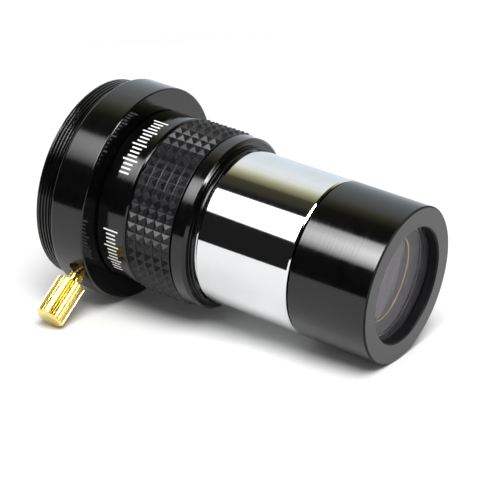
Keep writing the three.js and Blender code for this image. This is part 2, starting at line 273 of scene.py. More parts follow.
def sharpen(piece, degrees, leave_smooth=None):
    """Edges that turn by more than this stay crisp, but not those whose ends pass a test."""
    shape = bmesh.new()
    shape.from_mesh(piece.data)
    for edge in shape.edges:
        edge.smooth = len(edge.link_faces) == 2 and edge.calc_face_angle(0.0) < math.radians(degrees)
        if leave_smooth and leave_smooth(*OPTIC.measure(np.array([vertex.co[:] for vertex in edge.verts]))):
            edge.smooth = True
    shape.to_mesh(piece.data)
    shape.free()


def cut_with(piece, cutter):
    """Takes the cutter's volume out of the piece."""
    modifier = piece.modifiers.new("cut", "BOOLEAN")
    modifier.operation = "DIFFERENCE"
    modifier.solver = "EXACT"
    modifier.object = cutter
    graph = bpy.context.evaluated_depsgraph_get()
    cut = bpy.data.meshes.new_from_object(piece.evaluated_get(graph))
    piece.modifiers.clear()
    piece.data = cut
    bpy.data.objects.remove(cutter)


def shade_as_turned(piece, thread_front, thread_root):
    """Gives a cut piece the normals of the turned surface that it was cut from. Its thread, which
    is behind a station and outside a radius, is smooth all over."""
    mesh = piece.data
    mesh.polygons.foreach_set("use_smooth", [True] * len(mesh.polygons))
    sharpen(piece, CRISP, lambda stations, radii: stations.max() > thread_front and radii.min() > thread_root)
    points = np.array([vertex.co[:] for vertex in mesh.vertices])
    stations, radii = OPTIC.measure(points)
    outward = points - OPTIC.origin - np.outer(stations * MM, OPTIC.along)
    outward /= np.maximum(np.linalg.norm(outward, axis=1), 1e-9)[:, None]
    same_way = math.cos(math.radians(8))
    normals = []
    threaded = (stations > thread_front - 0.01) & (radii > thread_root)
    for polygon in mesh.polygons:
        if threaded[list(polygon.vertices)].all():
            normals += [(0, 0, 0)] * polygon.loop_total
            continue
        flat = np.array(polygon.normal[:])
        slope = flat @ OPTIC.along
        for loop in polygon.loop_indices:
            index = mesh.loops[loop].vertex_index
            radial = outward[index] * (1 if flat @ outward[index] > 0 else -1)
            turned = radial * math.sqrt(max(0.0, 1 - slope * slope)) + OPTIC.along * slope
            normals.append(tuple(turned if turned @ flat > same_way else (0, 0, 0)))
    mesh.normals_split_custom_set(normals)


# ------------------------------ materials
def material(name):
    """A new material, its node tree and its Principled shader."""
    made = bpy.data.materials.new(name)
    made.use_nodes = True
    return made, made.node_tree, made.node_tree.nodes["Principled BSDF"]


def add_node(tree, kind, **settings):
    """A new node in a tree, with its settings made."""
    node = tree.nodes.new(kind)
    for key, value in settings.items():
        setattr(node, key, value)
    return node


def calculate(tree, operation, *values):
    """The result of a math node on numbers and other nodes' outputs."""
    node = add_node(tree, "ShaderNodeMath", operation=operation)
    for socket, value in zip(node.inputs, values):
        if isinstance(value, (int, float)):
            socket.default_value = value
        else:
            tree.links.new(value, socket)
    return node.outputs[0]


def turning_marks(tree, pitch, detail=3.0):
    """A value that changes across a lathe's cut, about once each pitch, and not along it."""
    spot = add_node(tree, "ShaderNodeTexCoord")
    turn = add_node(tree, "ShaderNodeMapping", vector_type="TEXTURE")
    turn.inputs["Location"].default_value = NOSE
    turn.inputs["Rotation"].default_value = (0, math.atan2(-TO_NOSE[2], TO_NOSE[0]), 0)
    tree.links.new(spot.outputs["Object"], turn.inputs["Vector"])
    split = add_node(tree, "ShaderNodeSeparateXYZ")
    tree.links.new(turn.outputs["Vector"], split.inputs["Vector"])
    y, z = split.outputs["Y"], split.outputs["Z"]
    squares = calculate(tree, "ADD", calculate(tree, "MULTIPLY", y, y), calculate(tree, "MULTIPLY", z, z))
    cut = add_node(tree, "ShaderNodeCombineXYZ")
    tree.links.new(split.outputs["X"], cut.inputs["X"])
    tree.links.new(calculate(tree, "SQRT", squares), cut.inputs["Y"])
    noise = add_node(tree, "ShaderNodeTexNoise")
    noise.inputs["Scale"].default_value = 1 / (pitch * MM)
    noise.inputs["Detail"].default_value = detail
    tree.links.new(cut.outputs["Vector"], noise.inputs["Vector"])
    return noise.outputs["Fac"]


def cloud(tree, size, detail=4.0):
    """Soft patches about this many millimetres across."""
    spot = add_node(tree, "ShaderNodeTexCoord")
    noise = add_node(tree, "ShaderNodeTexNoise")
    noise.inputs["Scale"].default_value = 1 / (size * MM)
    noise.inputs["Detail"].default_value = detail
    tree.links.new(spot.outputs["Object"], noise.inputs["Vector"])
    return noise.outputs["Fac"]


def spread(tree, value, low, high):
    """Stretches the middle of a noise over low to high."""
    node = add_node(tree, "ShaderNodeMapRange")
    node.inputs["From Min"].default_value = 0.3
    node.inputs["From Max"].default_value = 0.7
    node.inputs["To Min"].default_value = low
    node.inputs["To Max"].default_value = high
    tree.links.new(value, node.inputs["Value"])
    return node.outputs["Result"]


def add_bump(tree, shader, height, depth, strength):
    """Relief of this many millimetres from a height value."""
    bump = add_node(tree, "ShaderNodeBump")
    bump.inputs["Strength"].default_value = strength
    bump.inputs["Distance"].default_value = depth * MM
    tree.links.new(height, bump.inputs["Height"])
    tree.links.new(bump.outputs["Normal"], shader.inputs["Normal"])


def mottled(tree, shader, factor, first, second):
    """Base colour that wanders between two near shades."""
    colour_a, colour_b, colour_result = 6, 7, 2     # of the mix node's sockets, which share their names
    mix = add_node(tree, "ShaderNodeMix", data_type="RGBA")
    tree.links.new(spread(tree, factor, low=0.0, high=1.0), mix.inputs["Factor"])
    mix.inputs[colour_a].default_value = (*first, 1)
    mix.inputs[colour_b].default_value = (*second, 1)
    tree.links.new(mix.outputs[colour_result], shader.inputs["Base Color"])


def black_anodised():
    """Gloss black, with the faint rings of the lathe."""
    made, tree, shader = material("black_anodised")
    shader.inputs["IOR"].default_value = 1.45
    marks = turning_marks(tree, pitch=0.28)
    mottled(tree, shader, cloud(tree, size=3.0), (0.0014, 0.0014, 0.0015), (0.0026, 0.0026, 0.0028))
    tree.links.new(spread(tree, marks, low=0.06, high=0.15), shader.inputs["Roughness"])
    add_bump(tree, shader, marks, depth=0.018, strength=0.5)
    return made


def matt_black():
    """Matt black paint on turned metal."""
    made, tree, shader = material("matt_black")
    shader.inputs["Specular IOR Level"].default_value = 0.12
    marks = turning_marks(tree, pitch=0.5)
    mottled(tree, shader, cloud(tree, size=2.0), (0.004, 0.004, 0.0045), (0.010, 0.010, 0.011))
    tree.links.new(spread(tree, marks, low=0.42, high=0.6), shader.inputs["Roughness"])
    add_bump(tree, shader, marks, depth=0.02, strength=0.5)
    return made


def chrome():
    """Polished chrome."""
    made, tree, shader = material("chrome")
    shader.inputs["Metallic"].default_value = 1.0
    marks = turning_marks(tree, pitch=0.4)
    mottled(tree, shader, cloud(tree, size=4.0), (0.66, 0.665, 0.67), (0.69, 0.695, 0.70))
    tree.links.new(spread(tree, marks, low=0.03, high=0.06), shader.inputs["Roughness"])
    add_bump(tree, shader, marks, depth=0.0003, strength=0.4)
    return made


def brass():
    """Bright brass."""
    made, tree, shader = material("brass")
    shader.inputs["Metallic"].default_value = 1.0
    patches = cloud(tree, size=0.8)
    mottled(tree, shader, patches, (0.90, 0.70, 0.20), (0.95, 0.79, 0.30))
    tree.links.new(spread(tree, patches, low=0.12, high=0.20), shader.inputs["Roughness"])
    add_bump(tree, shader, cloud(tree, size=0.3), depth=0.0008, strength=0.3)
    return made


def moulded_rubber():
    """Black rubber with a fine grain."""
    made, tree, shader = material("rubber")
    shader.inputs["Specular IOR Level"].default_value = 0.32
    grain = cloud(tree, size=0.1)
    mottled(tree, shader, cloud(tree, size=1.5), (0.003, 0.003, 0.004), (0.008, 0.008, 0.010))
    tree.links.new(spread(tree, grain, low=0.27, high=0.36), shader.inputs["Roughness"])
    add_bump(tree, shader, grain, depth=0.015, strength=0.5)
    return made


def coated_glass():
    """Clear glass under a grey-violet coating. Its low index keeps the reflections as faint as the
    coating does."""
    made, tree, shader = material("glass")
    shader.inputs["Transmission Weight"].default_value = 0.965
    shader.inputs["IOR"].default_value = 1.2
    shader.inputs["Specular IOR Level"].default_value = 0.1
    mottled(tree, shader, cloud(tree, size=6.0), (0.90, 0.86, 0.92), (0.94, 0.90, 0.95))
    tree.links.new(spread(tree, cloud(tree, size=2.0), low=0.0, high=0.01), shader.inputs["Roughness"])
    return made


def white_print_and_painted_highlight():
    """White ink for the printed marks, also used for a painted highlight line on the lenses' rear faces."""
    made, tree, shader = material("white_print_and_painted_highlight")
    grain = cloud(tree, size=0.2)
    mottled(tree, shader, grain, (0.80, 0.80, 0.77), (0.92, 0.92, 0.90))
    tree.links.new(spread(tree, grain, low=0.35, high=0.5), shader.inputs["Roughness"])
    return made


BLACK = black_anodised()
MATT = matt_black()
CHROME = chrome()
BRASS = brass()
RUBBER = moulded_rubber()
GLASS = coated_glass()
PRINT_WHITE_AND_PAINTED_HIGHLIGHT = white_print_and_painted_highlight()


def place(piece, finish, slot, rides_on, *stands_for):
    """Gives a finished piece its material, its body and the CAD nodes it stands for. The slot argument is not
    used.
    """
    piece.data.materials.clear()
    piece.data.materials.append(finish)
    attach(piece, rides_on)
    if stands_for:
        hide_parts(*stands_for)
    return piece


def refinish(piece, finish, chosen):
    """Gives one more material to the faces whose corners' stations and radii pass a test."""
    piece.data.materials.append(finish)
    corners = np.array([vertex.co[:] for vertex in piece.data.vertices])
    stations, radii = OPTIC.measure(corners)
    for polygon in piece.data.polygons:
        used = list(polygon.vertices)
        if chosen(stations[used], radii[used]):
            polygon.material_index = len(piece.data.materials) - 1


# ------------------------------ lens cell and its glass
CHAMFER = 0.3
THREAD_PITCH = 0.75
THREAD_DEPTH = 0.4
THREAD_STOP = 0.35      # plain length at the end of a thread
CELL_RELIEF = 0.6       # groove between the cell's shoulder and its thread
RUN_IN = 0.1            # slope between a groove and its thread

cell_back = cell.last(at_least=cell.outer - BESIDE)
lip_radius = cell.inner
lip_back = cell.last(at_most=lip_radius)
lens_bore = cell.next_radius(lip_radius, lip_back - NEAR, cell_back)
lens_seat_back = cell.last(at_most=lens_bore)
spigot_radius = cell.widest(cell_back + NEAR, cell.back - NEAR)
spigot_bore = cell.narrowest_at(cell.back)

cell_body = lathe("lens_cell_body", rounded([
    (cell.back, spigot_bore),
    (lens_seat_back, spigot_bore),
    (lens_seat_back, lens_bore),
    (lip_back, lens_bore),
    (lip_back, lip_radius),
    (CHAMFER, lip_radius),
    (0, lip_radius + CHAMFER),
    (0, cell.outer - CHAMFER),
    (CHAMFER, cell.outer),
    (cell_back - CHAMFER, cell.outer),
    (cell_back, cell.outer - CHAMFER),
    (cell_back, spigot_radius - THREAD_DEPTH),
    (cell_back + CELL_RELIEF, spigot_radius - THREAD_DEPTH),
    (cell_back + CELL_RELIEF + RUN_IN, spigot_radius - 0.05),
], closed=False) + thread_rings(cell_back + CELL_RELIEF + 2 * RUN_IN, cell.back - THREAD_STOP, spigot_radius,
                                THREAD_PITCH, THREAD_DEPTH)
    + [(cell.back - CHAMFER, spigot_radius - 0.02), (cell.back, spigot_radius - CHAMFER)])
place(cell_body, BLACK, "black_anodised", "cell", "lens_cell")
refinish(cell_body, MATT, lambda stations, radii: radii.max() < lip_radius + CHAMFER + 0.01)
refinish(cell_body, MATT, lambda stations, radii: 0.01 < stations.min() and stations.max() < CHAMFER + 0.01
         and radii.min() > cell.outer - CHAMFER)


def lens(name, sizes, node):
    """A lens with curved faces and a ground, bevelled edge. A painted highlight, a thin line of white, runs
    round its rear face next to the edge.
    """
    steps = 20
    bevel = 0.15
    # width of the painted highlight line round the rear face
    painted_highlight_width = 0.09
    middle = sizes.station[sizes.radius < NEAR]
    curved_edge = np.round(sizes.radius[sizes.radius < sizes.outer - NEAR], 3).max()
    at_edge = sizes.station[np.abs(sizes.radius - curved_edge) < NEAR]
    outline = []
    for vertex, edge in ((middle.min(), at_edge.min()), (middle.max(), at_edge.max())):
        heights = [curved_edge * step / steps for step in range(1, steps)]
        heights += [curved_edge - painted_highlight_width, curved_edge]
        outline.append([(vertex + (edge - vertex) * (height / curved_edge) ** 2, height)
                        for height in heights])
    front, back = outline[0][-1][0], outline[1][-1][0]
    rim = [(front, sizes.outer - bevel), (front + bevel, sizes.outer),
           (back - bevel, sizes.outer), (back, sizes.outer - bevel)]
    piece = lathe(name, outline[0] + rim + outline[1][::-1], closed=False, around=160)
    hubs = piece.data.vertices[-2:]
    hubs[0].co = OPTIC.point(middle.min(), 0, 0)
    hubs[1].co = OPTIC.point(middle.max(), 0, 0)
    place(piece, GLASS, "glass", "glass", node)
    refinish(piece, MATT, lambda stations, radii: radii.min() > sizes.outer - 0.01)
    # painted highlight: a thin white ring on the rear face, next to its edge, stands for the glint of that
    # edge
    refinish(piece, PRINT_WHITE_AND_PAINTED_HIGHLIGHT, lambda stations, radii: stations.min() > middle.mean()
             and curved_edge - painted_highlight_width - 0.01 < radii.min() and radii.max() < curved_edge + 0.01)


lens("front_lens_glass", front_glass, "front_lens")
lens("rear_lens_glass", rear_glass, "rear_lens")

BARE_EDGE = 0.1         # width of the spacer's edge that is bare of black
BARE_RISE = 0.05        # and its slope towards the front
GLARE_STEPS = 3         # low steps on the spacer's front
GLARE_STEP_WIDTH = 0.55
GLARE_STEP_FLAT = 0.45
GLARE_STEP_HEIGHT = 0.06
SPACER_SEAT = 0.9       # width of the flat that the front lens rests on

spacer_corners = [(spacer.back, spacer.inner), (spacer.front + CHAMFER, spacer.inner),
                  (spacer.front + CHAMFER - BARE_RISE, spacer.inner + BARE_EDGE)]
for step in range(GLARE_STEPS):
    foot = spacer.inner + CHAMFER + GLARE_STEP_WIDTH * step
    level = spacer.front + GLARE_STEP_HEIGHT * (GLARE_STEPS - step)
    flat_end = foot + GLARE_STEP_FLAT
    spacer_corners += [(level, foot), (level, flat_end),
                       (level - GLARE_STEP_HEIGHT, flat_end + GLARE_STEP_HEIGHT)]
spacer_corners += [(spacer.front, spacer.outer - SPACER_SEAT), (spacer.front, spacer.outer),
                   (spacer.back, spacer.outer)]
spacer_ring = lathe("lens_spacer_ring", rounded(spacer_corners, edge=0.03))
place(spacer_ring, BLACK, "black_anodised", "glass", "lens_spacer")
refinish(spacer_ring, BRASS, lambda stations, radii: stations.max() < spacer.front + CHAMFER + 0.05
         and radii.max() < spacer.inner + BARE_EDGE + 0.02)

RETAINER_PITCH = 0.5
RETAINER_DEPTH = 0.2
retainer_ring = lathe("lens_retainer_ring", rounded([
    (retainer.front, retainer.inner),
    (retainer.front, retainer.outer - RUN_IN),
], closed=False) + thread_rings(retainer.front + RUN_IN, retainer.back - RUN_IN, retainer.outer,
                                RETAINER_PITCH, RETAINER_DEPTH)
    + rounded([
        (retainer.back, retainer.outer - RUN_IN),
        (retainer.back, retainer.inner + CHAMFER),
        (retainer.back - CHAMFER, retainer.inner),
    ], closed=False))


def spanner_slots():
    """A bar that cuts both spanner slots, where the CAD retainer has them. The slots' corners are the
    only ones between the retainer's faces."""
    inside = (retainer.station > retainer.front + CHAMFER) & (retainer.station < retainer.back - CHAMFER)
    offsets = node_points("lens_retainer")[inside] - NOSE
    offsets -= np.outer(offsets @ TO_NOSE, TO_NOSE)
    long_way = np.linalg.svd(offsets)[2][0]
    short_way = np.cross(TO_NOSE, long_way)
    half_length = (retainer.outer + 1) * MM
    half_width = np.abs(offsets @ short_way).max()
    vertices = []
    for station in (retainer.station[inside].min(), retainer.back + 1):
        for along, across in ((-1, -1), (1, -1), (1, 1), (-1, 1)):
            vertices.append(NOSE - TO_NOSE * station * MM + long_way * along * half_length
                            + short_way * across * half_width)
    faces = [(0, 1, 2, 3), (4, 5, 6, 7)]
    faces += [(side, (side + 1) % 4, (side + 1) % 4 + 4, side + 4) for side in range(4)]
    return make_object("spanner_slot_bar", vertices, faces, smooth=False)


cut_with(retainer_ring, spanner_slots())
sharpen(retainer_ring, CRISP)
place(retainer_ring, MATT, "matt_black", "cell", "lens_retainer")

# ------------------------------ nosepiece barrel and baffle
BARREL_RELIEF = 0.5     # groove between the barrel's shoulder and its thread

socket_radius = barrel.narrowest_at(barrel.front)
socket_back = barrel.first(at_most=barrel.inner)
barrel_shoulder = barrel.last(at_least=barrel.outer - BESIDE)
barrel_thread = barrel.widest(barrel_shoulder + NEAR, barrel.back + NEAR)

place(lathe("nosepiece_tube", rounded([
    (barrel.back, barrel_thread - CHAMFER),
    (barrel.back, barrel.inner),
    (socket_back, barrel.inner),
    (socket_back, socket_radius),
    (barrel.front, socket_radius),
    (barrel.front, barrel.outer - CHAMFER),
    (barrel.front + CHAMFER, barrel.outer),
    (barrel_shoulder - CHAMFER, barrel.outer),
    (barrel_shoulder, barrel.outer - CHAMFER),
    (barrel_shoulder, barrel_thread - THREAD_DEPTH),
    (barrel_shoulder + BARREL_RELIEF, barrel_thread - THREAD_DEPTH),
], closed=False) + thread_rings(barrel_shoulder + BARREL_RELIEF + RUN_IN, barrel.back - CHAMFER,
                                barrel_thread, THREAD_PITCH, THREAD_DEPTH)),
    CHROME, "chrome", "body", "nosepiece_barrel")

BAFFLE_WALL = 1.0
BAFFLE_EDGE = 0.25      # the disc is thinnest round its hole
skirt = baffle.narrowest_at(baffle.back)
place(lathe("light_baffle_disc", rounded([
    (baffle.front, baffle.inner),
    (baffle.front, baffle.outer),
    (baffle.back, baffle.outer),
    (baffle.back, skirt),
    (baffle.front + BAFFLE_WALL, skirt),
    (baffle.front + BAFFLE_EDGE, baffle.inner),
])), MATT, "matt_black", "body", "light_baffle")

# ------------------------------ body
LAND_ROUND = 0.3

hub_radius = body.widest_at(body.front)
flange_front = body.first(at_least=hub_radius + BESIDE)
flange_back = body.last(before=rubber.front)
flange_radius = body.widest(flange_front, flange_back)
flange_chamfer = body.first(at_least=flange_radius) - flange_front
barrel_socket = body.narrowest(body.front + NEAR, flange_front - NEAR)
lead_in_back = body.first(at_most=barrel_socket)
seat_radius = body.narrowest_at(flange_back)
land_front = body.first(after=rubber.back)
land_radius, land_back = body.outer, body.back
holder_socket = body.narrowest_at(land_back)
holder_stop = body.first(after=land_front, at_most=holder_socket)
eyepiece_bore = body.narrowest_at(holder_stop)
stop_radius = body.inner
stop_front = body.first(at_most=stop_radius)
stop_back = body.last(at_most=stop_radius)

place(lathe("grip_body_shell", rounded([
    (lead_in_back, barrel_socket),
    (body.front, barrel.outer),
    (body.front, hub_radius),
    (flange_front, hub_radius),
    (flange_front, flange_radius - flange_chamfer),
    (flange_front + flange_chamfer, flange_radius),
    (flange_back - CHAMFER, flange_radius),
    (flange_back, flange_radius - CHAMFER),
    (flange_back, seat_radius),
    (land_front, seat_radius),
    (land_front, land_radius - CHAMFER),
    (land_front + CHAMFER, land_radius),
    (land_back, land_radius, LAND_ROUND),
    (land_back, holder_socket),
    (holder_stop, holder_socket),
    (holder_stop, eyepiece_bore),
    (stop_back, eyepiece_bore),
    (stop_back, stop_radius),
    (stop_front, stop_radius),
    (stop_front, barrel_socket),
])), BLACK, "black_anodised", "body", "grip_body")


TICK_GROUPS = ((10, 16), (94, 12))      # the angle of the first mark in degrees, and the number of marks
TICK_SPACING = 3.0      # degrees
TICK_WIDTH = 0.34
LONG_TICK = 3.4         # every fourth one
SHORT_TICK = 2.2
INK = 0.012             # thickness above the land
INK_ROOT = 0.01         # and depth in it, so that no gap shows


def tick_marks():
    """Two plain scales of white marks on the land."""
    vertices, faces = [], []
    middle = (land_front + land_back) / 2
    half_width = TICK_WIDTH / 2 / land_radius
    for start, count in TICK_GROUPS:
        for tick in range(count):
            angle = math.radians(start + TICK_SPACING * tick)
            half_length = LONG_TICK / 2 if tick % 4 == 0 else SHORT_TICK / 2
            first = len(vertices)
            for level in (land_radius + INK, land_radius - INK_ROOT):
                for along, turn in ((-1, -1), (1, -1), (1, 1), (-1, 1)):
                    station = middle + along * half_length
                    vertices.append(OPTIC.point(station, level, angle + turn * half_width))
            faces.append(tuple(range(first, first + 4)))
            faces.append(tuple(range(first + 7, first + 3, -1)))
            for side in range(4):
                after = (side + 1) % 4
                faces.append((first + side, first + 4 + side, first + 4 + after, first + after))
    return make_object("land_tick_marks", vertices, faces, smooth=False)


place(tick_marks(), PRINT_WHITE_AND_PAINTED_HIGHLIGHT, "black_anodised", "body")

# ------------------------------ rubber grip
GRIP_ROWS = 5
GRIP_COLUMNS = 56
GRIP_LINE = 0.16        # flat line between rows of pyramids
GRIP_SEAM = 0.06        # and between the pyramids of a row
GRIP_TOP = 0.16         # flat left on a pyramid's top
NOTCH_ANGLE = 48        # degrees; a nick in the sleeve's rear edge
NOTCH_SIZE = 0.6        # reach from its middle
NOTCH_DEPTH = 0.45
valley = rubber.widest_at(rubber.front)


def rubber_sleeve():
    """A sleeve covered with square pyramids that stand apart by a thin moulded line. The pyramids' feet,
    the sleeve's ends and its bore are joined into one skin."""
    vertices, faces = [], []
    pitch = (rubber.back - rubber.front) / GRIP_ROWS
    column = 2 * math.pi / GRIP_COLUMNS
    seam = GRIP_SEAM / valley / 2
    top = GRIP_TOP / valley / 2

    def add(station, radius, angle):
        vertices.append(OPTIC.point(station, radius, angle))
        return len(vertices) - 1

    def square(middle, half, angle, half_turn, radius):
        return [add(middle - half, radius, angle - half_turn), add(middle + half, radius, angle - half_turn),
                add(middle + half, radius, angle + half_turn), add(middle - half, radius, angle + half_turn)]

    for row in range(GRIP_ROWS):
        middle = rubber.front + (row + 0.5) * pitch
        for turn in range(GRIP_COLUMNS):
            angle = (turn + 0.5) * column
            outer = square(middle, pitch / 2, angle, column / 2, valley)
            foot = square(middle, pitch / 2 - GRIP_LINE / 2, angle, column / 2 - seam, valley)
            tip = square(middle, GRIP_TOP / 2, angle, top, rubber.outer)
            for low, high in ((outer, foot), (foot, tip)):
                for index in range(4):
                    after = (index + 1) % 4
                    faces.append((low[index], low[after], high[after], high[index]))
            faces.append(tuple(tip))
    for station in (rubber.front, rubber.back):
        for turn in range(GRIP_COLUMNS):
            angle, after = turn * column, (turn + 1) * column
            faces.append((add(station, valley, angle), add(station, valley, after),
                          add(station, rubber.inner, after), add(station, rubber.inner, angle)))
    for turn in range(GRIP_COLUMNS):
        angle, after = turn * column, (turn + 1) * column
        faces.append((add(rubber.front, rubber.inner, angle), add(rubber.front, rubber.inner, after),
                      add(rubber.back, rubber.inner, after), add(rubber.back, rubber.inner, angle)))
    piece = make_object("rubber_grip_sleeve", vertices, faces, smooth=False)
    shape = bmesh.new()
    shape.from_mesh(piece.data)
    bmesh.ops.remove_doubles(shape, verts=shape.verts, dist=1e-6)
    bmesh.ops.recalc_face_normals(shape, faces=shape.faces)
    notch = Vector(OPTIC.point(rubber.back, valley, round(math.radians(NOTCH_ANGLE) / column) * column))
    for vertex in shape.verts:
        if (vertex.co - notch).length < NOTCH_SIZE * MM:
            vertex.co += Vector(TO_NOSE) * NOTCH_DEPTH * MM
    shape.to_mesh(piece.data)
    shape.free()
    return piece


place(rubber_sleeve(), RUBBER, "rubber", "body", "rubber_grip")

# ------------------------------ eyepiece holder
PAST_TIP = 2            # from the screw's tip, on its stud
PAST_RELIEF = 1.5       # behind the collar, past the camera thread's relief groove
CAMERA_THREAD_DEPTH = 0.46
MOUTH_EDGE = 0.35       # chamfer at the end of the camera thread
COLLAR_ROUND = 0.35     # on the collar's front edge
COLLAR_REAR_ROUND = 2.2     # in collar chamfers
SCREW_CLEARANCE = 0.15

collar_front = holder.first(at_least=holder.outer - BESIDE)
collar_back = holder.last(at_least=holder.outer - BESIDE)
collar_chamfer = holder.first(at_least=holder.outer) - collar_front
holder_spigot = holder.widest(holder.front - NEAR, collar_front - NEAR)
camera_thread = holder.widest(collar_back + PAST_RELIEF, holder.back)
relief_radius = holder.narrowest(collar_back + NEAR, collar_back + BESIDE)
relief_wall = holder.first(after=collar_back, at_least=relief_radius) - collar_back
relief_back = holder.last(before=collar_back + PAST_RELIEF, at_least=relief_radius)
bore_mouth = holder.narrowest_at(holder.back)
groove_front = holder.first(after=ring.front - BESIDE)
groove_radius = holder.next_radius(holder.inner, groove_front - NEAR, groove_front + NEAR)
groove_back = holder.last(before=ring.back + BESIDE)
stud_radius = screw.widest(screw.front + NEAR, screw.front + PAST_TIP)

holder_shell = lathe("eyepiece_holder_shell", rounded([
    (groove_back, holder.inner),
    (groove_back, groove_radius),
    (groove_front, groove_radius),
    (groove_front, holder.inner),
    (holder.front, holder.inner),
    (holder.front, holder_spigot - CHAMFER),
    (holder.front + CHAMFER, holder_spigot),
    (collar_front, holder_spigot),
    (collar_front, holder.outer, COLLAR_ROUND),
    (collar_back, holder.outer, COLLAR_REAR_ROUND * collar_chamfer),
    (collar_back, camera_thread),
    (collar_back + relief_wall, relief_radius),
    (relief_back - 0.05, relief_radius),
], closed=False) + thread_rings(relief_back, holder.back - THREAD_STOP, camera_thread, THREAD_PITCH,
                                CAMERA_THREAD_DEPTH, per_turn=16)
    + rounded([
        (holder.back - CHAMFER, camera_thread - 0.05),
        (holder.back, camera_thread - MOUTH_EDGE),
        (holder.back, bore_mouth),
        (holder.back - (bore_mouth - holder.inner), holder.inner),
        (groove_back + 0.2, holder.inner),
    ], closed=False))
hole_radius = stud_radius + SCREW_CLEARANCE
cut_with(holder_shell, lathe("screw_hole_drill", [
    (holder.inner + 0.5, hole_radius),
    (holder.outer + 2, hole_radius),
], axis=SCREW, around=48, closed=False))
shade_as_turned(holder_shell, relief_back, thread_root=camera_thread - 1)
place(holder_shell, BLACK, "black_anodised", "body", "eyepiece_holder")

# ------------------------------ compression ring
RING_ROUND = 0.15

ring_offsets = node_points("compression_ring") - NOSE
ring_spokes = ring_offsets - np.outer(ring_offsets @ TO_NOSE, TO_NOSE)
facing = ring_spokes @ SCREW_OUT / np.linalg.norm(ring_spokes, axis=1)
split_half = math.pi - math.acos(max(-1.0, facing.min()))
place(sector("compression_ring_band", rounded([
    (ring.front, ring.inner),
    (ring.front, ring.outer),
    (ring.back, ring.outer),
    (ring.back, ring.inner),
], edge=RING_ROUND), SCREW_ANGLE - math.pi + split_half, SCREW_ANGLE + math.pi - split_half, steps=200),
    BRASS, "brass", "ring", "compression_ring")

# ------------------------------ thumbscrew
KNURLS = 40
KNURL_STEPS = 8
KNURL_DEPTH = 0.17
STUD_PITCH = 0.5
STUD_THREAD_DEPTH = 0.27
STUD_THREAD_START = 0.5     # behind the tip
NECK_DEPTH = 0.28       # groove between the thread and the knob
TIP_EDGE = 0.08
KNURL_CRISP = 14        # degrees

tip_radius = screw.widest_at(screw.front)
knob_start = screw.first(at_least=stud_radius + BESIDE)
shoulder_chamfer = screw.first(at_least=screw.outer) - knob_start
knob_chamfer = screw.back - screw.last(at_least=screw.outer)
around_knob = KNURLS * KNURL_STEPS
ridge = np.abs((np.arange(around_knob) / KNURL_STEPS) % 1.0 - 0.5) * 2
knurl = screw.outer - KNURL_DEPTH * np.clip(2 * ridge - 1, 0, 1)


def knob_rings():
    """The knurled knob from its shoulder to its end, with turned chamfers."""
    steps = 4
    flat = 0.3          # ring inside each chamfer, so that the flats stay flat
    shift = 0.02        # keeps a chamfer's first ring clear of its flat
    shoulder = screw.outer - shoulder_chamfer
    end = screw.outer - knob_chamfer
    rings = [(knob_start, shoulder - flat), (knob_start, shoulder - shift)]
    for step in range(steps + 1):
        share = step / steps
        limit = screw.outer - shoulder_chamfer * (1 - share)
        rings.append((knob_start + shift + shoulder_chamfer * share, np.minimum(knurl, limit)))
    for step in range(steps + 1):
        share = step / steps
        limit = screw.outer - knob_chamfer * share
        rings.append((screw.back - shift - knob_chamfer * (1 - share), np.minimum(knurl, limit)))
    return rings + [(screw.back, end - 0.03), (screw.back, end - flat)]


thumbscrew = lathe("thumbscrew_knob", [
    (screw.front, tip_radius * 0.6),
    (screw.front, tip_radius - TIP_EDGE),
    (screw.front + TIP_EDGE, tip_radius),
    (screw.front + STUD_THREAD_START - RUN_IN, tip_radius + 0.05),
] + thread_rings(screw.front + STUD_THREAD_START, knob_start - THREAD_STOP, stud_radius, STUD_PITCH,
                 STUD_THREAD_DEPTH, around=around_knob)
    + [(knob_start - CHAMFER, stud_radius - NECK_DEPTH), (knob_start - 0.02, stud_radius - NECK_DEPTH)]
    + knob_rings(), axis=SCREW, around=around_knob, closed=False)
sharpen(thumbscrew, KNURL_CRISP)
place(thumbscrew, BRASS, "brass", "screw", "thumbscrew")

# ------------------------------ studio
NEAR_FLOOR = 0.22       # radius of the floor that shows in polished surfaces
FAR_FLOOR = 6.0


def floor_ring(name, inner, outer, glow=0.0):
    """A round piece of white floor, with a hole if its inner radius isn't 0."""
    steps = 64
    vertices, faces = [], []
    for radius in (inner, outer):
        for step in range(steps):
            angle = 2 * math.pi * step / steps
            vertices.append((radius * math.cos(angle), radius * math.sin(angle), 0.0))
    if inner == 0:
        vertices = vertices[steps:]
        faces = [tuple(range(steps))]
    else:
        for step in range(steps):
            after = (step + 1) % steps
            faces.append((step, after, steps + after, steps + step))
    piece = make_object(name, vertices, faces, smooth=False)
    made, tree, shader = material(name + "_paint")
    shader.inputs["Roughness"].default_value = 0.9
    shader.inputs["Specular IOR Level"].default_value = 0.0
    shader.inputs["Emission Color"].default_value = (1.0, 1.0, 1.0, 1.0)
    shader.inputs["Emission Strength"].default_value = glow
    mottled(tree, shader, cloud(tree, size=40.0), (0.84, 0.84, 0.84), (0.85, 0.85, 0.85))
    piece.data.materials.append(made)
    return piece


floor_ring("floor_near", 0, NEAR_FLOOR)
far_floor = floor_ring("floor_far", NEAR_FLOOR, FAR_FLOOR, glow=0.3)
far_floor.visible_glossy = False
far_floor.visible_diffuse = False


def direction(azimuth, elevation):
    """A unit vector: azimuth from +X towards +Y, elevation above the floor, in degrees."""
    around, up = math.radians(azimuth), math.radians(elevation)
    return Vector((math.cos(around) * math.cos(up), math.sin(around) * math.cos(up), math.sin(up)))


